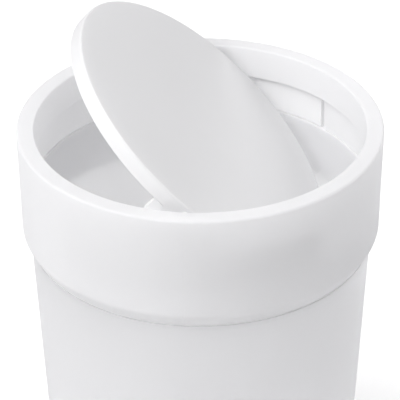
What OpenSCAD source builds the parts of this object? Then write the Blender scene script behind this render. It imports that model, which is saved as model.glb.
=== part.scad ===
// Countertop trash can with a lift-off collar and a round swing lid.
// Millimetres. Origin at the centre of the base on the floor, +Z up.
// The lid's pivot axis runs along Y. A positive lid_tilt lowers the +X side.

/* [Bin] */
// Height of the bin from the floor to its rim
bin_h = 176; // [130:1:260]
// Radius of the wall at the floor
base_r = 63.5; // [50:0.5:68]
// Radius of the wall just under the collar
shoulder_r = 70.9; // [68:0.1:95]
// Step from the wall in to the neck, which the collar's edge fills
shoulder_step = 0.6; // [0.4:0.1:1.5]
// Height of the neck above the shoulder
neck_h = 22.4; // [14:0.1:30]
// Thickness of the bin's wall
bin_wall = 1.8; // [1.2:0.1:3]
// Thickness of the neck
neck_wall = 1.4; // [1:0.1:2.4]
// Thickness of the floor
floor_t = 2.2; // [1.4:0.1:4]
// Height of the foot ring under the floor
foot_h = 1.2; // [0.6:0.1:3]
// Width of the foot ring
foot_w = 4.5; // [3:0.1:8]
// Outer radius of the curve from wall to floor
heel_r = 3.5; // [2:0.1:6]

/* [Collar] */
// Height of the collar from its lower edge to the land
collar_h = 51.25; // [46:0.05:75]
// How far the collar's top stands out past the bin's wall
collar_flare = 4.1; // [3:0.1:8]
// How far the skirt leans in between the land and the corner
skirt_lean = 0.75; // [0:0.05:1.5]
// Height of the sloped lower edge
chamfer_h = 6; // [4:0.1:10]
// Height of the upright lip under the sloped edge
lip_h = 0.8; // [0.4:0.1:1.5]
// Radius of the soft corner over the sloped edge
corner_r = 7; // [3:0.5:9]
// Thickness of the skirt
skirt_wall = 2.3; // [1.6:0.1:3]
// Width of the flat land on top
land_w = 7.2; // [6.4:0.1:9]
// Radius of the land's outer edge
land_edge = 1.1; // [0.5:0.1:2]
// Height of the upper inner band
band_h = 13.95; // [12:0.05:20]
// How much of the rim the ledge covers
seat_w = 0.6; // [0.4:0.1:0.9]
// Gap under the collar's lower edge
edge_gap = 0.15; // [0.1:0.05:0.5]
// Gap on the diameter between the bin's neck and the bore
fit_gap = 0.3; // [0.15:0.05:0.5]

/* [Pivot brackets] */
// How far a panel stands in from the lower band
panel_t = 1.8; // [1.6:0.1:2.4]
// Half of the angle that a panel covers
panel_half = 45; // [20:1:70]
// Gap over a panel, under the upper band
panel_gap = 0.8; // [0.4:0.1:1.5]
// Gap between a panel and the bin's rim
panel_low_gap = 0.8; // [0.3:0.1:1.5]
// Width of the tongue behind the upper band
tongue_w = 14; // [8:0.5:20]
// Thickness of the tongue
tongue_t = 1.6; // [1.2:0.1:1.8]
// Radius of the stud that carries the lid
stud_r = 1.2; // [1:0.05:1.25]
// How far the stud reaches into the lid
stud_reach = 5.5; // [4:0.1:7]

/* [Lid] */
// Gap between the lid and the upper band
lid_gap = 2; // [1.6:0.1:4]
// Thickness of the lid at its edge
lid_t = 6.4; // [5.6:0.1:9]
// Depth of the pivot axis under the lid's top face
pivot_drop = 3; // [2.4:0.1:4]
// Depth of the pivot axis under the land
pivot_depth = 2.5; // [2.4:0.1:4]
// Thickness of the lid's top
lid_top_t = 2; // [1.4:0.1:2.4]
// Thickness of the lid's side band
lid_side_t = 1.8; // [1.4:0.1:2.4]
// Radius of the lid's upper edge
lid_edge = 0.9; // [0.4:0.1:1.4]
// Radius of the boss round each stud
boss_r = 9.2; // [6:0.1:10]
// Length of the boss
boss_l = 9; // [8:0.5:14]
// Thickness of the cover under the lid
cover_t = 1.4; // [1:0.1:2]
// Width of the ear behind each boss
ear_w = 25; // [24:0.2:27]
// How far the ear hangs below the lid's edge
ear_drop = 8.5; // [8:0.5:9]
// Thickness of the ear
ear_t = 2.7; // [2.4:0.1:4]
// Running gap of the stud in its hole, measured on the radius
stud_play = 0.05; // [0.02:0.01:0.1]
// Gap between the lid's two pieces, and round a tongue
join_gap = 0.1; // [0.05:0.01:0.2]

/* [Pose] */
// How far the lid is swung open, in degrees from level
lid_tilt = 41.6; // [-90:0.1:90]

/* [Hidden] */
$fn = 180;
// How far a cut runs on past the piece
over = 1;
// Radii of small rounded edges
rim_in_edge = 0.55;
rim_out_edge = 0.3;
band_top_edge = 0.7;
band_low_edge = 0.5;
ledge_edge = 0.4;
panel_edge = 0.5;
lid_low_edge = 0.4;
ear_corner = 2;
// Slope inside the foot ring
foot_slope = 0.8;
// The bin's inside leans in from this far under the shoulder to this far over it
neck_in_low = 4;
neck_in_high = 1;
// Heights of the two narrow parts of the bore, at the collar's edge and at the rim
guide_low_h = 3.2;
guide_top_h = 3.5;
// Depth of the collar's pocket for a bracket, under the bin's rim
pocket_drop = 4;
// Wall between the upper band's face and the tongue, and the cover over the tongue
tongue_wall = 2.1;
tongue_cover = 1.25;
// How far a tongue's foot runs into its panel
tongue_root = 1.2;
// Room past the end of a stud
hole_room = 0.6;
// How far an ear's face stands in from the lid's side
ear_in = 0.3;
// Rim that stands up inside the lid's side band: how far in, and its wall
rim_in = 2;
rim_wall = 1.6;
neck_r = shoulder_r - shoulder_step;
shoulder_z = bin_h - neck_h;
edge_z = shoulder_z + edge_gap;
land_z = edge_z + collar_h;
collar_r = shoulder_r + collar_flare;
corner_z = edge_z + chamfer_h;
low_r = neck_r - seat_w;
bore_r = neck_r + fit_gap / 2;
relief_r = collar_r - skirt_lean - skirt_wall;
band_r = collar_r - land_w;
band_z = land_z - band_h;
pivot_z = land_z - pivot_depth;
lid_r = band_r - lid_gap;
panel_r = low_r - panel_t;
tongue_y = band_r + tongue_wall;
tongue_top = land_z - tongue_cover;
panel_z = bin_h + panel_low_gap;
panel_top = band_z - panel_gap;
cover_r = lid_r - lid_side_t - join_gap;

// Radius of the bin's outer wall at height z
function wall_r(z) = base_r + (shoulder_r - base_r) * z / shoulder_z;

// Points of an arc about [x, y]
function arc(x, y, r, a0, a1, n) =
    [for (i = [0 : n]) [x + r * cos(a0 + (a1 - a0) * i / n), y + r * sin(a0 + (a1 - a0) * i / n)]];

// What a corner loses when it is rounded; sx and sy point out of the corner
module corner_cut(x, y, r, sx, sy) {
    translate([x - sx * r, y - sy * r])
        scale_signs(sx, sy)
            difference() {
                square(r + over);
                circle(r, $fn = 64);
            }
}

module scale_signs(sx, sy) {
    mirror([sx < 0 ? 1 : 0, 0])
        mirror([0, sy < 0 ? 1 : 0])
            children();
}

// ---- bin ----

module bin_outline() {
    lean = atan((shoulder_r - base_r) / shoulder_z);
    heel_x = wall_r(0) - heel_r * (1 - sin(lean)) / cos(lean);
    polygon(concat(
        [[0, foot_h], [base_r - heel_r - foot_w - foot_slope, foot_h], [base_r - heel_r - foot_w, 0]],
        arc(heel_x, heel_r, heel_r, -90, -lean, 10),
        [[shoulder_r, shoulder_z], [neck_r, shoulder_z], [neck_r, bin_h], [0, bin_h]]));
}

module bin_hollow() {
    floor_z = foot_h + floor_t;
    in_r = heel_r + bin_wall / 2;
    polygon(concat(
        [[0, floor_z]],
        arc(wall_r(floor_z) - bin_wall - in_r, floor_z + in_r, in_r, -90, 0, 10),
        [[wall_r(shoulder_z - neck_in_low) - bin_wall, shoulder_z - neck_in_low],
         [neck_r - neck_wall, shoulder_z + neck_in_high],
         [neck_r - neck_wall, bin_h + over], [0, bin_h + over]]));
}

module bin_body() {
    color([0.95, 0.95, 0.96])
        rotate_extrude()
            difference() {
                bin_outline();
                bin_hollow();
                corner_cut(neck_r - neck_wall, bin_h, rim_in_edge, -1, 1);
                corner_cut(neck_r, bin_h, rim_out_edge, 1, 1);
            }
}

// ---- collar ----

// Outline of the collar, filled in to the axis
module collar_outline() {
    corner_x = collar_r - skirt_lean;
    lip_z = edge_z + lip_h;
    land_low = land_z - land_edge;
    lean = atan(skirt_lean / (land_low - corner_z));
    slope = atan((corner_x - shoulder_r) / (corner_z - lip_z));
    run = corner_r * tan((slope - lean) / 2);
    cut_top = [corner_x + run * sin(lean), corner_z + run * cos(lean)];
    cut_low = [corner_x - run * sin(slope), corner_z - run * cos(slope)];
    polygon([[0, edge_z], [shoulder_r, edge_z], [shoulder_r, lip_z], cut_low, cut_top,
             [collar_r, land_low], [collar_r, land_z], [0, land_z]]);
    translate([cut_top[0] - corner_r * cos(lean), cut_top[1] + corner_r * sin(lean)])
        circle(corner_r, $fn = 180);
}

// Everything inside the collar that is open
module collar_hollow() {
    step = relief_r - bore_r;
    guide_low = edge_z + guide_low_h;
    guide_top = bin_h - guide_top_h;
    polygon([[0, edge_z - over], [bore_r, edge_z - over], [bore_r, guide_low],
             [relief_r, guide_low + step], [relief_r, guide_top - step],
             [bore_r, guide_top], [bore_r, bin_h], [low_r, bin_h],
             [low_r, band_z], [band_r, band_z], [band_r, land_z + over], [0, land_z + over]]);
}

// The room behind the upper band for a tongue, and the slot for its stud
module tongue_room() {
    w = tongue_w + 2 * join_gap;
    z0 = bin_h - pocket_drop;
    slot_y = band_r - over;
    translate([-w / 2, tongue_y - join_gap, z0])
        cube([w, tongue_t + 2 * join_gap, tongue_top + join_gap - z0]);
    translate([-w / 2, panel_r, z0])
        cube([w, tongue_y - panel_r, panel_top - z0]);
    translate([0, slot_y, pivot_z])
        rotate([-90, 0, 0])
            cylinder(r = stud_r + join_gap, h = tongue_y - slot_y, $fn = 48);
    translate([-stud_r - join_gap, slot_y, band_z - over])
        cube([2 * (stud_r + join_gap), tongue_y - slot_y, pivot_z - band_z + over]);
}

module lid_collar() {
    color([0.93, 0.93, 0.95])
        difference() {
            rotate_extrude()
                difference() {
                    collar_outline();
                    collar_hollow();
                    corner_cut(collar_r, land_z, land_edge, 1, 1);
                    corner_cut(band_r, land_z, band_top_edge, -1, 1);
                    corner_cut(band_r, band_z, band_low_edge, -1, -1);
                    corner_cut(low_r, bin_h, ledge_edge, -1, -1);
                }
            tongue_room();
            rotate([0, 0, 180])
                tongue_room();
        }
}

// ---- pivot brackets ----

// Section of a panel: a flat back and rounded front edges
module panel_section() {
    difference() {
        translate([panel_r, panel_z])
            square([panel_t - join_gap, panel_top - panel_z]);
        corner_cut(panel_r, panel_top, panel_edge, -1, 1);
        corner_cut(panel_r, panel_z, panel_edge, -1, -1);
    }
}

module pivot_bracket() {
    root_y = low_r - tongue_root;
    tip_y = lid_r - stud_reach;
    back_y = tongue_y + tongue_t;
    rotate([0, 0, 90 - panel_half])
        rotate_extrude(angle = 2 * panel_half)
            panel_section();
    translate([-tongue_w / 2, root_y, panel_z])
        cube([tongue_w, back_y - root_y, panel_top - join_gap - panel_z]);
    translate([-tongue_w / 2, tongue_y, panel_z])
        cube([tongue_w, tongue_t, tongue_top - panel_z]);
    translate([0, tip_y, pivot_z])
        rotate([-90, 0, 0])
            cylinder(r = stud_r, h = back_y - tip_y, $fn = 48);
}

module pivot_bracket_front() {
    color([0.80, 0.85, 0.92])
        rotate([0, 0, 180])
            pivot_bracket();
}

module pivot_bracket_back() {
    color([0.80, 0.85, 0.92])
        pivot_bracket();
}

// ---- lid ----

// Puts a lid piece, drawn level with its top face at zero, on the pivot
module on_pivot() {
    translate([0, 0, pivot_z])
        rotate([0, lid_tilt, 0])
            translate([0, 0, pivot_drop])
                children();
}

// A rod along Y on the pivot axis, from y0 out
module pivot_rod(r, y0, y1) {
    translate([0, y0, -pivot_drop])
        rotate([-90, 0, 0])
            cylinder(r = r, h = y1 - y0, $fn = 96);
}

// The lid's outer shape, carried down to depth h
module lid_disc(h) {
    rotate_extrude()
        difference() {
            translate([0, -h])
                square([lid_r, h]);
            corner_cut(lid_r, 0, lid_edge, 1, 1);
        }
}

module lid_boss() {
    intersection() {
        pivot_rod(boss_r, lid_r - boss_l, lid_r + over);
        lid_disc(2 * boss_r + pivot_drop);
    }
}

module lid_top() {
    color([0.90, 0.90, 0.92])
        on_pivot()
            difference() {
                union() {
                    rotate_extrude()
                        difference() {
                            translate([0, -lid_t])
                                square([lid_r, lid_t]);
                            translate([0, -lid_t - over])
                                square([lid_r - lid_side_t, lid_t - lid_top_t + over]);
                            corner_cut(lid_r, 0, lid_edge, 1, 1);
                            corner_cut(lid_r, -lid_t, lid_low_edge, 1, -1);
                        }
                    lid_boss();
                    rotate([0, 0, 180])
                        lid_boss();
                }
                for (a = [0, 180])
                    rotate([0, 0, a])
                        pivot_rod(stud_r + stud_play, lid_r - stud_reach - hole_room, lid_r + over);
            }
}

// Face of an ear, seen along Y, with rounded lower corners
module ear_face() {
    h = ear_drop + lid_t - lid_top_t;
    difference() {
        translate([-ear_w / 2, -lid_t - ear_drop])
            square([ear_w, h]);
        corner_cut(ear_w / 2, -lid_t - ear_drop, ear_corner, 1, -1);
        corner_cut(-ear_w / 2, -lid_t - ear_drop, ear_corner, -1, -1);
    }
}

module ear() {
    out_r = lid_r - ear_in;
    low_z = -lid_t - ear_drop - over;
    intersection() {
        rotate_extrude()
            polygon([[out_r - ear_t, low_z], [out_r, low_z], [out_r, -lid_t - join_gap],
                     [cover_r, -lid_t - join_gap], [cover_r, -lid_t + cover_t],
                     [out_r - ear_t, -lid_t + cover_t]]);
        translate([0, lid_r + over, 0])
            rotate([90, 0, 0])
                linear_extrude(height = boss_l + over)
                    ear_face();
    }
}

module lid_base() {
    color([0.84, 0.86, 0.88])
        on_pivot()
            difference() {
                union() {
                    translate([0, 0, -lid_t])
                        cylinder(r = cover_r, h = cover_t);
                    rotate_extrude()
                        translate([cover_r - rim_in, -lid_t])
                            square([rim_wall, lid_t - lid_top_t - join_gap]);
                    ear();
                    rotate([0, 0, 180])
                        ear();
                }
                for (a = [0, 180])
                    rotate([0, 0, a])
                        pivot_rod(boss_r + join_gap, lid_r - boss_l - join_gap, lid_r + over);
            }
}

bin_body();
lid_collar();
pivot_bracket_front();
pivot_bracket_back();
lid_top();
lid_base();
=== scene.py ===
"""Looks of the round countertop trash can with a swing lid: moulded white plastic, light and camera.

The scene is in metres in the frame of the CAD model: origin at the centre of the base, +Z up, the
lid's pivot axis along Y. Sizes are kept in millimetres and become metres when a mesh is made.
"""

import math

import bmesh
import bpy
import numpy as np
from mathutils import Matrix, Vector


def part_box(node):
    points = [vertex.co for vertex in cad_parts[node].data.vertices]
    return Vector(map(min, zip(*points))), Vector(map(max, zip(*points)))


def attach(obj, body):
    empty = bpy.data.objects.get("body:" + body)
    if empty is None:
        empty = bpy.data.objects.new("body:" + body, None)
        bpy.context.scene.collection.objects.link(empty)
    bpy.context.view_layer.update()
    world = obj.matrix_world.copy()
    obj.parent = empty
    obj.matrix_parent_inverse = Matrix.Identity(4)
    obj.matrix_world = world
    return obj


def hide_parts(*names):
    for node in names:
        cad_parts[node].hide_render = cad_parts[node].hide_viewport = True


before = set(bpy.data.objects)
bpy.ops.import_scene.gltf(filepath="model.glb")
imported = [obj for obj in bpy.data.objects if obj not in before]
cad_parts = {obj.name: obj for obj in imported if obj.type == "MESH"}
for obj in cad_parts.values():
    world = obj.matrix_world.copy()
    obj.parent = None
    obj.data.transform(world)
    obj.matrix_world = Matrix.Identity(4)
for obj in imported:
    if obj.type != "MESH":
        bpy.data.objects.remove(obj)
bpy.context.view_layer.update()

# ---- sizes in millimetres, from the frame's boxes and the part's driving dimensions ----
MM = 0.001


def box_mm(node):
    """Lowest and highest corner of a CAD node, in millimetres."""
    return [np.array(corner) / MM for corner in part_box(node)]


collar_low, collar_high = box_mm("lid_collar")
bin_high = box_mm("bin_body")[1]

COLLAR_R = collar_high[0]
LAND_Z = collar_high[2]
EDGE_Z = collar_low[2]
SHOULDER_R = bin_high[0]
BIN_H = bin_high[2]

# the bin: foot, wall, floor and neck
BASE_R, HEEL_R, BIN_WALL, NECK_WALL = 63.5, 3.5, 1.8, 1.4
FLOOR_T, FOOT_H, FOOT_W, FOOT_SLOPE = 2.2, 1.2, 4.5, 0.8
NECK_H, SHOULDER_STEP, FIT_GAP, LEAN_H, FLOOR_ROUND = 22.4, 0.6, 0.3, 4, 4.4
# the collar: leaning skirt, sloped lower edge, land, inner bands and the narrow parts of its bore;
# the corner is crisper than the CAD's 7, and the lower edge is EDGE_LIFT higher than the CAD's
SKIRT_LEAN, SKIRT_WALL, CHAMFER_H, LIP_H, CORNER_R = 0.75, 2.3, 6.0, 0.8, 4.5
EDGE_LIFT, LAND_ROUND, LAND_IN_ROUND = 0.2, 1.08, 0.7
LAND_W, LAND_EDGE, BAND_H, SEAT_W = 7.2, 1.1, 13.95, 0.6
GUIDE_LOW_H, GUIDE_TOP_H = 3.2, 3.5
# the lid with its bosses, the cover under it and the ears; LID_TILT is in degrees
LID_GAP, LID_T, LID_TOP_T, LID_SIDE_T, LID_EDGE = 2.0, 6.4, 2.0, 1.8, 0.9
PIVOT_DROP, PIVOT_DEPTH, LID_TILT = 3.0, 2.5, 41.6
BOSS_R, BOSS_L, COVER_T, JOIN_GAP = 9.2, 9.0, 1.4, 0.1
EAR_W, EAR_DROP, EAR_T, EAR_IN, EAR_CORNER = 25.0, 8.5, 2.7, 0.3, 2.0
# the brackets, and their pockets in the collar; each HALF is half the turn in degrees
PANEL_T, PANEL_HALF, PANEL_GAP, PANEL_LOW_GAP, PANEL_EDGE = 1.7, 42.8, 0.25, 0.3, 0.2
POCKET_HALF, POCKET_T, GROOVE_HALF, GROOVE_T = 42.9, 1.9, 45.5, 1.4
TONGUE_W, TONGUE_T, TONGUE_WALL, TONGUE_COVER, TONGUE_ROOT = 14.0, 1.6, 2.1, 1.25, 1.2
STUD_R, STUD_REACH, STUD_PLAY, HOLE_ROOM, POCKET_DROP = 1.2, 5.5, 0.05, 0.6, 4.0

NECK_R = SHOULDER_R - SHOULDER_STEP
SHOULDER_Z = BIN_H - NECK_H
BORE_R = NECK_R + FIT_GAP / 2
LOW_R = NECK_R - SEAT_W
RELIEF_R = COLLAR_R - SKIRT_LEAN - SKIRT_WALL
BAND_R = COLLAR_R - LAND_W
BAND_Z = LAND_Z - BAND_H
PIVOT_Z = LAND_Z - PIVOT_DEPTH
LID_R = BAND_R - LID_GAP
COVER_R = LID_R - LID_SIDE_T - JOIN_GAP
PANEL_R = LOW_R + 0.05
PANEL_Z = BIN_H + PANEL_LOW_GAP
PANEL_TOP = BAND_Z - PANEL_GAP
TONGUE_Y = BAND_R + TONGUE_WALL
TONGUE_TOP = LAND_Z - TONGUE_COVER


# ---- surfaces ----

def rounded(corners, closed=True, turn_step=10.0, run_step=6.0, hold=0.12):
    """Section through corners (r, z, radius), as points.

    At a corner with a radius, an arc touches both sides: its centre is on the bisector,
    radius / sin(half the corner's angle) away. A straight run has points `hold` from its ends and
    at most run_step apart between them.
    """
    at = np.array([c[:2] for c in corners], float)
    radius = np.array([c[2] for c in corners], float)
    back, ahead = np.roll(at, 1, 0) - at, np.roll(at, -1, 0) - at
    back /= np.linalg.norm(back, axis=1)[:, None]
    ahead /= np.linalg.norm(ahead, axis=1)[:, None]
    half = np.arccos(np.clip((back * ahead).sum(1), -1, 1)) / 2
    reach = np.where(radius > 0, radius / np.tan(half), 0)[:, None]
    enter, leave = at + back * reach, at + ahead * reach
    out = []
    for i in range(len(at)):
        if radius[i] > 0:
            middle = (back[i] + ahead[i]) / np.linalg.norm(back[i] + ahead[i])
            centre = at[i] + middle * radius[i] / math.sin(half[i])
            a0 = math.atan2(*(enter[i] - centre)[::-1])
            a1 = math.atan2(*(leave[i] - centre)[::-1])
            sweep = (a1 - a0 + math.pi) % (2 * math.pi) - math.pi
            steps = max(3, math.ceil(math.degrees(abs(sweep)) / turn_step))
            angle = a0 + sweep * np.linspace(0, 1, steps + 1)
            out.append(centre + radius[i] * np.stack([np.cos(angle), np.sin(angle)], 1))
        else:
            out.append(at[i:i + 1])
        if i + 1 == len(at) and not closed:
            break
        p, q = leave[i], enter[(i + 1) % len(at)]
        length = np.linalg.norm(q - p)
        if length > 4 * hold:
            along = np.linspace(hold, length - hold, max(2, math.ceil(length / run_step) + 1))
            out.append(p + (q - p) * along[:, None] / length)
    return np.concatenate(out)


def grid_faces(ids, closed_rows, closed_columns):
    """Quads between neighbouring rows and columns of a grid of point numbers.

    They face out for a section that runs anticlockwise in (r, z).
    """
    if closed_rows:
        ids = np.vstack([ids, ids[:1]])
    if closed_columns:
        ids = np.hstack([ids, ids[:, :1]])
    quads = np.stack([ids[:-1, :-1], ids[:-1, 1:], ids[1:, 1:], ids[1:, :-1]], 2)
    return quads.reshape(-1, 4).tolist()


def turned(section, angles):
    """A section turned round the upright axis: point (i, j) = (r_i cos a_j, r_i sin a_j, z_i).

    A section that starts and ends on the axis gets one point at each end; another one closes on
    itself.
    """
    on_axis = section[0, 0] < 1e-6
    rows = section[1:-1] if on_axis else section
    r, z = rows[:, :1], rows[:, 1:]
    points = np.stack([r * np.cos(angles), r * np.sin(angles), z + 0 * angles], 2).reshape(-1, 3)
    ids = np.arange(len(points)).reshape(len(rows), len(angles))
    faces = grid_faces(ids, not on_axis, True)
    if on_axis:
        first, last = len(points), len(points) + 1
        points = np.vstack([points, [[0, 0, section[0, 1]], [0, 0, section[-1, 1]]]])
        after = np.roll(ids, -1, 1)
        faces += [[first, b, a] for a, b in zip(ids[0].tolist(), after[0].tolist())]
        faces += [[a, b, last] for a, b in zip(ids[-1].tolist(), after[-1].tolist())]
    return points, faces


def lofted(points):
    """A closed skin through a grid of points [i round the section, j along], with flat ends."""
    rows, columns = points.shape[:2]
    ids = np.arange(rows * columns).reshape(rows, columns)
    faces = grid_faces(ids, True, False)
    faces += [ids[:, 0][::-1].tolist(), ids[:, -1].tolist()]
    return points.reshape(-1, 3), faces


def turned_part(section, start, end, columns):
    """A section turned from one angle to another, in degrees, with flat ends."""
    angles = np.radians(np.linspace(start, end, columns))
    r, z = section[:, :1], section[:, 1:]
    return lofted(np.stack([r * np.cos(angles), r * np.sin(angles), z + 0 * angles], 2))


def bar(outline, y0, y1):
    """A prism along Y, whose outline (x, z) runs clockwise seen from -Y."""
    y = np.array([y0, y1], float)
    x, z = outline[:, :1], outline[:, 1:]
    return lofted(np.stack([x + 0 * y, y + 0 * x, z + 0 * y], 2))


def block(x0, x1, y0, y1, z0, z1):
    """A rectangular prism, as a bar."""
    return bar(np.array([[x0, z0], [x0, z1], [x1, z1], [x1, z0]], float), y0, y1)


def rod(radius, y0, y1, z, steps=96):
    """A round bar along Y at height z: outline point k = (radius cos t_k, z - radius sin t_k)."""
    t = np.linspace(0, 2 * np.pi, steps, endpoint=False)
    return bar(np.stack([radius * np.cos(t), z - radius * np.sin(t)], 1), y0, y1)


def half_turn(points):
    """Points turned by 180 degrees about the upright axis."""
    return points * [-1, -1, 1]


def on_pivot(points):
    """Lid points swung by t = LID_TILT about the pivot axis and put in place.

    They are drawn level, with the top face at zero: with z measured from the pivot,
    (x cos t + z sin t, y, PIVOT_Z - x sin t + z cos t).
    """
    t = math.radians(LID_TILT)
    cos, sin = math.cos(t), math.sin(t)
    x, y, z = points[:, 0], points[:, 1], points[:, 2] + PIVOT_DROP
    return np.stack([x * cos + z * sin, y, PIVOT_Z - x * sin + z * cos], 1)


def shaped(name, *skins):
    """One object from skins (points in millimetres, faces)."""
    points, faces, base = [], [], 0
    for p, f in skins:
        points.append(p)
        faces += [[base + k for k in face] for face in f]
        base += len(p)
    mesh = bpy.data.meshes.new(name)
    mesh.from_pydata((np.concatenate(points) * MM).tolist(), [], faces)
    mesh.validate()
    obj = bpy.data.objects.new(name, mesh)
    bpy.context.scene.collection.objects.link(obj)
    return obj


def cut_by(obj, cutter):
    """Takes the cutter's inside out of an object, and removes the cutter."""
    step = obj.modifiers.new("cut", "BOOLEAN")
    step.object, step.operation, step.solver = cutter, "DIFFERENCE", "EXACT"
    result = obj.evaluated_get(bpy.context.evaluated_depsgraph_get())
    made = bpy.data.meshes.new_from_object(result)
    obj.modifiers.clear()
    obj.data = made
    bpy.data.objects.remove(cutter)


def cut_away(obj, *skins):
    """Takes the skins' insides out of an object, one after the other."""
    for number, skin in enumerate(skins):
        cut_by(obj, shaped("cutter_%d" % number, skin))


def ends(skin):
    """A skin on the +Y side and its twin on the -Y side."""
    return [skin, (half_turn(skin[0]), skin[1])]


def finished(obj, node, body, material, smooth=28.0):
    """Smooth shading with crisp corners, the node's place, body, slot and material."""
    obj.data.polygons.foreach_set("use_smooth", np.ones(len(obj.data.polygons), bool))
    obj.data.set_sharp_from_angle(angle=math.radians(smooth))
    obj.data.materials.clear()
    obj.data.materials.append(material)
    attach(obj, body)
    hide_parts(node)


# ---- materials ----

def new_material(name):
    """An empty node material and its links."""
    material = bpy.data.materials.new(name)
    material.use_nodes = True
    material.node_tree.nodes.clear()
    return material, material.node_tree.nodes, material.node_tree.links


DRIFT_SCALE, DRIFT_DETAIL, DRIFT_LOW, DRIFT_HIGH, DRIFT_TONE = 22.0, 3.0, 0.35, 0.65, 0.985
GRAIN_MM, GRAIN_DETAIL, GRAIN_STRENGTH, GRAIN_DEPTH = 0.25, 2.0, 0.12, 0.00002
GRAIN_SMOOTHER, GRAIN_ROUGHER = 0.04, 0.05
PLASTIC_IOR, PLASTIC_GLOSS = 1.49, 0.5
# soft edges of the painted shade in the crevice under the collar, in metres: below, above and inward
JOINT_SHADE_START, JOINT_SHADE_FADE, JOINT_SHADE_IN_FROM, JOINT_SHADE_IN_TO = 0.0001, 0.001, 0.0003, 0.0001


def graded(nodes, links, source, low, high, at_low=0.0, at_high=1.0, kind="LINEAR"):
    """A value that goes from at_low to at_high while the source goes from low to high."""
    grade = nodes.new("ShaderNodeMapRange")
    grade.interpolation_type = kind
    for socket, number in (("From Min", low), ("From Max", high), ("To Min", at_low),
                           ("To Max", at_high)):
        grade.inputs[socket].default_value = number
    links.new(source, grade.inputs["Value"])
    return grade.outputs["Result"]


def worked_out(nodes, links, operation, first, second):
    """Two values joined by a sum such as MULTIPLY or MAXIMUM."""
    node = nodes.new("ShaderNodeMath")
    node.operation = operation
    links.new(first, node.inputs[0])
    links.new(second, node.inputs[1])
    return node.outputs[0]


def painted_joint_shade(nodes, links, place, paint, colour, joint_shade):
    """The paint, darkened on the outside between two heights: painted shade in the crevice under
    the collar's lower edge.

    The painted shade is (low, high, radius, tone): heights and radius in metres, the tone as a
    share of the colour.
    """
    low, high, out_from, shade = joint_shade
    spot = nodes.new("ShaderNodeSeparateXYZ")
    flat = nodes.new("ShaderNodeCombineXYZ")
    radius = nodes.new("ShaderNodeVectorMath")
    radius.operation = "LENGTH"
    links.new(place, spot.inputs["Vector"])
    links.new(spot.outputs["X"], flat.inputs["X"])
    links.new(spot.outputs["Y"], flat.inputs["Y"])
    links.new(flat.outputs["Vector"], radius.inputs[0])
    over = graded(nodes, links, spot.outputs["Z"], low - JOINT_SHADE_START, low, kind="SMOOTHSTEP")
    under = graded(nodes, links, spot.outputs["Z"], high, high + JOINT_SHADE_FADE, 1.0, 0.0)
    outside = graded(nodes, links, radius.outputs["Value"], out_from - JOINT_SHADE_IN_FROM,
                     out_from - JOINT_SHADE_IN_TO)
    band = worked_out(nodes, links, "MULTIPLY", over, under)
    shaded_paint = nodes.new("ShaderNodeMix")
    shaded_paint.data_type = "RGBA"
    shaded_paint.inputs["B"].default_value = (*[c * shade for c in colour], 1)
    links.new(worked_out(nodes, links, "MULTIPLY", band, outside), shaded_paint.inputs["Factor"])
    links.new(paint, shaded_paint.inputs["A"])
    return shaded_paint.outputs["Result"]


def moulded_plastic(name, colour, roughness, lets_through, joint_shade=None):
    """White moulded plastic, thin enough to let light through.

    Its tone drifts slowly, and a satin grain is in its bump and its roughness.
    """
    material, nodes, links = new_material(name)
    out = nodes.new("ShaderNodeOutputMaterial")
    shader = nodes.new("ShaderNodeBsdfPrincipled")
    glow = nodes.new("ShaderNodeBsdfTranslucent")
    both = nodes.new("ShaderNodeMixShader")
    both.inputs["Fac"].default_value = lets_through
    place = nodes.new("ShaderNodeTexCoord").outputs["Object"]
    drift = nodes.new("ShaderNodeTexNoise")
    drift.inputs["Scale"].default_value = DRIFT_SCALE
    drift.inputs["Detail"].default_value = DRIFT_DETAIL
    tone = nodes.new("ShaderNodeValToRGB")
    tone.color_ramp.elements[0].position = DRIFT_LOW
    tone.color_ramp.elements[1].position = DRIFT_HIGH
    tone.color_ramp.elements[0].color = (*[c * DRIFT_TONE for c in colour], 1)
    tone.color_ramp.elements[1].color = (*colour, 1)
    grain = nodes.new("ShaderNodeTexNoise")
    grain.inputs["Scale"].default_value = 1.0 / (GRAIN_MM * MM)
    grain.inputs["Detail"].default_value = GRAIN_DETAIL
    bump = nodes.new("ShaderNodeBump")
    bump.inputs["Strength"].default_value = GRAIN_STRENGTH
    bump.inputs["Distance"].default_value = GRAIN_DEPTH
    shader.inputs["IOR"].default_value = PLASTIC_IOR
    shader.inputs["Specular IOR Level"].default_value = PLASTIC_GLOSS
    links.new(place, drift.inputs["Vector"])
    links.new(place, grain.inputs["Vector"])
    links.new(drift.outputs["Fac"], tone.inputs["Fac"])
    paint = tone.outputs["Color"]
    # painted shade in the crevice under the collar's edge, where it is given
    if joint_shade:
        paint = painted_joint_shade(nodes, links, place, paint, colour, joint_shade)
    sheen = graded(nodes, links, grain.outputs["Fac"], 0.0, 1.0, roughness - GRAIN_SMOOTHER,
                   roughness + GRAIN_ROUGHER)
    links.new(paint, shader.inputs["Base Color"])
    links.new(paint, glow.inputs["Color"])
    links.new(sheen, shader.inputs["Roughness"])
    links.new(grain.outputs["Fac"], bump.inputs["Height"])
    links.new(bump.outputs["Normal"], shader.inputs["Normal"])
    links.new(bump.outputs["Normal"], glow.inputs["Normal"])
    links.new(shader.outputs["BSDF"], both.inputs[1])
    links.new(glow.outputs["BSDF"], both.inputs[2])
    links.new(both.outputs["Shader"], out.inputs["Surface"])
    return material
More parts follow.
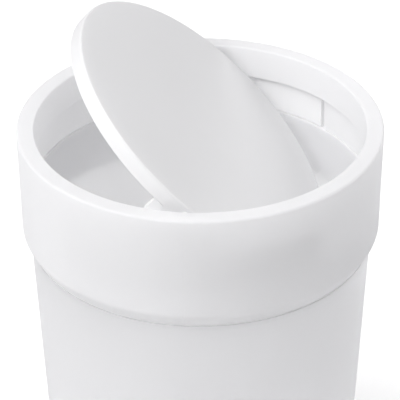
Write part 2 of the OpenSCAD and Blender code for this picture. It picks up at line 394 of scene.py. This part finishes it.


# lets_through stands for the wall's thickness, and was set against the photograph
# painted shade: the bin's outside at 0.8 of its colour from just below its shoulder to 0.6 mm above,
# under the collar's edge
under_edge_shade = ((SHOULDER_Z - 0.02) * MM, (SHOULDER_Z + 0.6) * MM, NECK_R * MM, 0.8)
bin_white = moulded_plastic("bin_white_plastic", (0.958, 0.958, 0.962), 0.42, lets_through=0.72,
                            joint_shade=under_edge_shade)
collar_white = moulded_plastic("collar_white_plastic", (0.96, 0.96, 0.965), 0.48, lets_through=0.5)
bracket_white = moulded_plastic("bracket_white_plastic", (0.96, 0.96, 0.965), 0.40,
                                lets_through=0.15)
lid_white = moulded_plastic("lid_white_plastic", (0.956, 0.956, 0.961), 0.45, lets_through=0.3)
cover_white = moulded_plastic("cover_white_plastic", (0.958, 0.958, 0.962), 0.48, lets_through=0.18)


# ---- the bin ----

TURN_COLUMNS, PANEL_COLUMNS = 360, 121
TURN = np.linspace(0, 2 * np.pi, TURN_COLUMNS, endpoint=False)


def wall_r(z):
    """Radius of the bin's outer wall at height z."""
    return BASE_R + (SHOULDER_R - BASE_R) * z / SHOULDER_Z


def bin_section():
    """Section of the bin from axis to axis: foot ring, tapered wall, shoulder, neck and inside."""
    foot_in = BASE_R - HEEL_R - FOOT_W
    floor_z = FOOT_H + FLOOR_T
    lean_z = SHOULDER_Z - LEAN_H
    return rounded([
        (0, FOOT_H, 0), (foot_in - FOOT_SLOPE, FOOT_H, 0.3), (foot_in, 0, 0.3), (BASE_R, 0, HEEL_R),
        (SHOULDER_R, SHOULDER_Z, 0.05), (NECK_R, SHOULDER_Z, 0), (NECK_R, BIN_H, 0.3),
        (NECK_R - NECK_WALL, BIN_H, 0.55), (NECK_R - NECK_WALL, SHOULDER_Z + 1, 0),
        (wall_r(lean_z) - BIN_WALL, lean_z, 0),
        (wall_r(floor_z) - BIN_WALL, floor_z, FLOOR_ROUND), (0, floor_z, 0)], closed=False)


finished(shaped("bin_shell", turned(bin_section(), TURN)), "bin_body", "bin",
         bin_white)


# ---- the collar ----

def seam_angles(spread_mm=0.6, steps=13):
    """Angles of a full turn, with extra ones close to the two mould seams, which are at the pivots."""
    near = np.linspace(-spread_mm, spread_mm, steps) / COLLAR_R
    whole = TURN[np.abs(np.sin(TURN)) < math.cos(spread_mm / COLLAR_R + 0.008)]
    return np.sort(np.concatenate([whole, near + np.pi / 2, near + 1.5 * np.pi]))


def collar_section():
    """Section of the collar, from its lower edge up the outside and down the inside.

    Lip, sloped edge, soft corner, leaning skirt, land, upper band, lower band, ledge, and the bore
    with its two narrow parts.
    """
    corner_z, lip_z = EDGE_Z + CHAMFER_H, EDGE_Z + LIP_H
    guide_low, guide_top = EDGE_Z + GUIDE_LOW_H, BIN_H - GUIDE_TOP_H
    step = RELIEF_R - BORE_R
    land_low = LAND_Z - LAND_EDGE
    return rounded([
        (BORE_R, EDGE_Z + EDGE_LIFT, 0.1), (SHOULDER_R, EDGE_Z + EDGE_LIFT, 0.05),
        (SHOULDER_R, lip_z, 0.15), (COLLAR_R - SKIRT_LEAN, corner_z, CORNER_R),
        (COLLAR_R, land_low, 0), (COLLAR_R, LAND_Z, LAND_ROUND), (BAND_R, LAND_Z, LAND_IN_ROUND),
        (BAND_R, BAND_Z, 0.5), (LOW_R, BAND_Z, 0), (LOW_R, BIN_H, 0.4), (BORE_R, BIN_H, 0),
        (BORE_R, guide_top, 0), (RELIEF_R, guide_top - step, 0), (RELIEF_R, guide_low + step, 0),
        (BORE_R, guide_low, 0)])


def seam_dip(points, depth=0.05, width=0.22):
    """The mould seam at the pivots' plane: outer points come in by depth * exp(-(x / width)^2)."""
    r = np.hypot(points[:, 0], points[:, 1])
    outer = (r > BAND_R + 1) & (points[:, 2] > EDGE_Z + 0.5)
    dip = np.where(outer, depth * np.exp(-(points[:, 0] / width) ** 2), 0)
    return points - np.stack([points[:, 0] / r * dip, points[:, 1] / r * dip, 0 * dip], 1)


def panel_pockets():
    """The pocket that a bracket's panel lies in, and the shallower groove past its two ends."""
    rooms = []
    for deep, half, low in ((POCKET_T, POCKET_HALF, 0.12), (GROOVE_T, GROOVE_HALF, 0.1)):
        inner, outer, bottom, top = LOW_R - 1, LOW_R + deep, BIN_H - 0.5, BAND_Z - low
        section = np.array([[inner, bottom], [outer, bottom], [outer, top], [inner, top]])
        rooms.append(turned_part(section, 90 - half, 90 + half, PANEL_COLUMNS))
    return rooms


def tongue_rooms():
    """The room behind the upper band for a tongue, the pocket under it, and the stud's keyhole slot."""
    w = TONGUE_W / 2 + JOIN_GAP
    z0 = BIN_H - POCKET_DROP
    key = STUD_R + JOIN_GAP
    t = np.linspace(0, np.pi, 25)
    keyhole = np.vstack([[key, BAND_Z - 1], [-key, BAND_Z - 1],
                         np.stack([-key * np.cos(t), PIVOT_Z + key * np.sin(t)], 1)])
    back_y = TONGUE_Y + TONGUE_T
    return [block(-w, w, TONGUE_Y - JOIN_GAP, back_y + JOIN_GAP, z0, TONGUE_TOP + JOIN_GAP),
            block(-w, w, LOW_R - 1, TONGUE_Y, z0, PANEL_TOP),
            bar(keyhole, BAND_R - 1, TONGUE_Y)]


points, faces = turned(collar_section(), seam_angles())
collar = shaped("collar_ring", (seam_dip(points), faces))
for skin in panel_pockets() + tongue_rooms():
    cut_away(collar, *ends(skin))
finished(collar, "lid_collar", "collar", collar_white)


# ---- the pivot brackets ----

def bracket_skins():
    """Panel with rounded front edges, foot, tongue and stud of a bracket, on the +Y side."""
    panel = rounded([(PANEL_R, PANEL_Z, PANEL_EDGE), (PANEL_R + PANEL_T, PANEL_Z, 0.1),
                     (PANEL_R + PANEL_T, PANEL_TOP, 0.1), (PANEL_R, PANEL_TOP, PANEL_EDGE)])
    w, back_y = TONGUE_W / 2, TONGUE_Y + TONGUE_T
    foot_top = PANEL_TOP - JOIN_GAP
    return [turned_part(panel, 90 - PANEL_HALF, 90 + PANEL_HALF, PANEL_COLUMNS),
            block(-w, w, PANEL_R + TONGUE_ROOT, back_y, PANEL_Z + 0.02, foot_top),
            block(-w + 0.01, w - 0.01, TONGUE_Y, back_y - 0.01, foot_top - 1, TONGUE_TOP),
            rod(STUD_R, LID_R - STUD_REACH, back_y - 0.02, PIVOT_Z, 48)]


back_skins = bracket_skins()
front_skins = [(half_turn(p), f) for p, f in back_skins]
for side, skins in (("back", back_skins), ("front", front_skins)):
    finished(shaped("bracket_%s" % side, *skins), "pivot_bracket_%s" % side, "collar",
             bracket_white)


# ---- the lid ----

def lid_blank():
    """Full disc of the lid's radius with its rounded upper edge, deep enough for the bosses."""
    deep = PIVOT_DROP + BOSS_R + 2
    section = [(0, -deep, 0), (LID_R, -deep, 0), (LID_R, 0, LID_EDGE), (0, 0, 0)]
    return turned(rounded(section, closed=False), TURN)


def under_lid():
    """What the blank loses: the hollow inside the side band, and all below its soft low edge."""
    deep = PIVOT_DROP + BOSS_R + 3
    low = 0.4
    t = np.linspace(-np.pi / 2, 0, 6)
    edge = np.stack([LID_R - low + low * np.cos(t), -LID_T + low + low * np.sin(t)], 1)
    side = LID_R - LID_SIDE_T
    section = np.vstack([[0, -deep], [LID_R + 1, -deep], [LID_R + 1, -LID_T + low], edge[::-1],
                         [side, -LID_T], [side, -LID_TOP_T], [0, -LID_TOP_T]])
    return turned(section, TURN)


# the scrap keeps clear of the bosses, so that they stay on the lid
scrap = shaped("lid_scrap", under_lid())
cut_away(scrap, *ends(rod(BOSS_R, LID_R - BOSS_L, LID_R + 5, -PIVOT_DROP)))
lid = shaped("lid_disc", lid_blank())
cut_by(lid, scrap)
hole = rod(STUD_R + STUD_PLAY, LID_R - STUD_REACH - HOLE_ROOM, LID_R + 1, -PIVOT_DROP, 48)
cut_away(lid, *ends(hole))


def tilt(obj):
    """Swings a level lid mesh onto the pivot."""
    points = np.empty(len(obj.data.vertices) * 3)
    obj.data.vertices.foreach_get("co", points)
    obj.data.vertices.foreach_set("co", (on_pivot(points.reshape(-1, 3) / MM) * MM).ravel())


def cover_section():
    """Section of the lid's cover with the rim that stands up inside the side band."""
    top, rim_top = -LID_T + COVER_T, -LID_TOP_T - JOIN_GAP
    rim_in, rim_out = COVER_R - 2.0, COVER_R - 0.4
    return rounded([(0, -LID_T, 0), (COVER_R, -LID_T, 0.15), (COVER_R, top, 0.1), (rim_out, top, 0),
                    (rim_out, rim_top, 0.15), (rim_in, rim_top, 0.15), (rim_in, top, 0),
                    (0, top, 0)], closed=False)


def ear():
    """The ear behind a boss: a plate bent to the lid's round, with rounded lower corners.

    Section point i at station j is (x_j, sqrt(r_i^2 - x_j^2), z_i), and the section's low points
    rise towards the ends by c - sqrt(c^2 - (|x| - w / 2 + c)^2), where c is the corner's radius.
    """
    t = np.linspace(0, np.pi / 2, 12)
    flat = EAR_W / 2 - EAR_CORNER
    x = np.concatenate([-(flat + EAR_CORNER * np.sin(t[::-1])), np.linspace(-flat, flat, 25)[1:-1],
                        flat + EAR_CORNER * np.sin(t)])
    bend = EAR_CORNER * (1 - np.cos(t))
    rise = np.concatenate([bend[::-1], np.zeros(23), bend])
    out_r, low = LID_R - EAR_IN, -LID_T - EAR_DROP
    section = rounded([(out_r - EAR_T, low, 0.35), (out_r, low, 0.35), (out_r, -LID_T - JOIN_GAP, 0),
                       (COVER_R, -LID_T - JOIN_GAP, 0), (COVER_R, -LID_T + COVER_T - 0.05, 0),
                       (out_r - EAR_T, -LID_T + COVER_T - 0.05, 0)])
    r, z = section[:, :1], section[:, 1:]
    lift = np.where(z < low + EAR_CORNER + 0.5, rise, 0)
    return lofted(np.stack([x + 0 * r, np.sqrt(r ** 2 - x ** 2), z + lift], 2))


cover = shaped("lid_cover", turned(cover_section(), TURN))
ears = shaped("ears", *ends(ear()))
relief = rod(BOSS_R + JOIN_GAP, LID_R - BOSS_L - JOIN_GAP, LID_R + 1, -PIVOT_DROP)
cut_away(cover, *ends(relief))
cut_away(ears, *ends(relief))
both = bmesh.new()
both.from_mesh(cover.data)
both.from_mesh(ears.data)
both.to_mesh(cover.data)
both.free()
bpy.data.objects.remove(ears)

tilt(lid)
tilt(cover)
finished(lid, "lid_top", "lid", lid_white)
finished(cover, "lid_base", "lid", cover_white)


# ---- floor and backdrop ----

FLOOR_SIZE, FLOOR_TONE, FLOOR_GLOW = 3.0, 0.8, 0.45
AMBIENT = (0.22, 0.216, 0.224)


def pale_floor():
    """A white floor that the camera sees as white, with the object's shadow kept on it."""
    mesh = bpy.data.meshes.new("floor")
    half = FLOOR_SIZE / 2
    corners = [(-half, -half, 0), (half, -half, 0), (half, half, 0), (-half, half, 0)]
    mesh.from_pydata(corners, [], [(0, 1, 2, 3)])
    floor = bpy.data.objects.new("floor", mesh)
    bpy.context.scene.collection.objects.link(floor)
    material, nodes, links = new_material("floor_white")
    out = nodes.new("ShaderNodeOutputMaterial")
    matte = nodes.new("ShaderNodeBsdfDiffuse")
    matte.inputs["Color"].default_value = (FLOOR_TONE, FLOOR_TONE, FLOOR_TONE, 1)
    glow = nodes.new("ShaderNodeEmission")
    path = nodes.new("ShaderNodeLightPath").outputs
    seen = worked_out(nodes, links, "MAXIMUM", path["Is Camera Ray"], path["Is Glossy Ray"])
    seen = worked_out(nodes, links, "MAXIMUM", seen, path["Is Transmission Ray"])
    both = nodes.new("ShaderNodeAddShader")
    links.new(graded(nodes, links, seen, 0.0, 1.0, 0.0, FLOOR_GLOW), glow.inputs["Strength"])
    links.new(matte.outputs[0], both.inputs[0])
    links.new(glow.outputs[0], both.inputs[1])
    links.new(both.outputs[0], out.inputs["Surface"])
    mesh.materials.append(material)


def white_world(ambient):
    """A world that the camera sees as white and that lights the object evenly in a faint cool colour."""
    world = bpy.data.worlds.new("studio")
    bpy.context.scene.world = world
    world.use_nodes = True
    nodes, links = world.node_tree.nodes, world.node_tree.links
    nodes.clear()
    out = nodes.new("ShaderNodeOutputWorld")
    light = nodes.new("ShaderNodeBackground")
    light.inputs["Strength"].default_value = 1.0
    light.inputs["Color"].default_value = (*ambient, 1)
    seen = nodes.new("ShaderNodeBackground")
    seen.inputs["Strength"].default_value = 1.0
    seen.inputs["Color"].default_value = (1, 1, 1, 1)
    path = nodes.new("ShaderNodeLightPath")
    mix = nodes.new("ShaderNodeMixShader")
    links.new(path.outputs["Is Camera Ray"], mix.inputs["Fac"])
    links.new(light.outputs[0], mix.inputs[1])
    links.new(seen.outputs[0], mix.inputs[2])
    links.new(mix.outputs[0], out.inputs["Surface"])


pale_floor()
white_world(AMBIENT)


# ---- light ----

LAMP_DISTANCE, LAMP_WIDTH, LAMP_AIM = 1.6, 1.4, 0.85


def softbox(name, azimuth, elevation, height, power):
    """A rectangular lamp aimed at the collar, LAMP_AIM of the land's height up.

    Azimuth 0 is the camera's side, -Y, and 90 is +X. Height is in metres, power in watts.
    """
    lamp = bpy.data.lights.new(name, "AREA")
    lamp.shape = "RECTANGLE"
    lamp.size = LAMP_WIDTH
    lamp.size_y = height
    lamp.energy = power
    aim = Vector((0, 0, LAND_Z * MM * LAMP_AIM))
    a, e = math.radians(azimuth), math.radians(elevation)
    away = Vector((math.sin(a) * math.cos(e), -math.cos(a) * math.cos(e), math.sin(e)))
    obj = bpy.data.objects.new(name, lamp)
    obj.location = aim + away * LAMP_DISTANCE
    obj.rotation_euler = (-away).to_track_quat("-Z", "Y").to_euler()
    bpy.context.scene.collection.objects.link(obj)


softbox("front_left_high", -40, 58, 1.2, 27.2)
softbox("front_left", -35, 28, 1.2, 3.0)
softbox("left_low", -80, 12, 0.6, 2.4)
softbox("right", 90, 28, 1.2, 1.8)
softbox("back_right", 135, 38, 1.2, 9.0)


# ---- camera ----
# The view that was fitted to the photograph, in units of the collar's radius and degrees.
CAMERA_FROM_PIVOT = 5.3
CAMERA_DISTANCE = 13.0591
CAMERA_ELEVATION = 30.029
CAMERA_PITCH = -1.823
CAMERA_YAW = 0.014
CAMERA_ROLL = 0.319
FOCAL_OVER_WIDTH = 6.0
SENSOR_MM = 36.0


def place_camera():
    """Camera on a ray from the land's centre, then turned by pitch, yaw and roll about its own axes."""
    e = math.radians(CAMERA_ELEVATION)
    back = Vector((0, -math.cos(e), math.sin(e)))
    right, ahead = Vector((1, 0, 0)), -back
    up = right.cross(ahead)
    pitch = Matrix.Rotation(math.radians(CAMERA_PITCH), 3, right)
    ahead, up = pitch @ ahead, pitch @ up
    yaw = Matrix.Rotation(math.radians(CAMERA_YAW), 3, up)
    ahead, right = yaw @ ahead, yaw @ right
    roll = Matrix.Rotation(math.radians(CAMERA_ROLL), 3, ahead)
    right, up = roll @ right, roll @ up
    turn = Matrix.Rotation(math.radians(CAMERA_FROM_PIVOT), 3, "Z")
    right, up, ahead, back = turn @ right, turn @ up, turn @ ahead, turn @ back
    spot = back * CAMERA_DISTANCE * COLLAR_R * MM + Vector((0, 0, LAND_Z * MM))
    data = bpy.data.cameras.new("camera")
    data.sensor_width = SENSOR_MM
    data.lens = FOCAL_OVER_WIDTH * SENSOR_MM
    data.clip_end = 20.0
    camera = bpy.data.objects.new("camera", data)
    axes = Matrix((right, up, -ahead)).transposed().to_4x4()
    camera.matrix_world = Matrix.Translation(spot) @ axes
    bpy.context.scene.collection.objects.link(camera)
    bpy.context.scene.camera = camera


place_camera()
bpy.context.scene.view_settings.view_transform = "Standard"
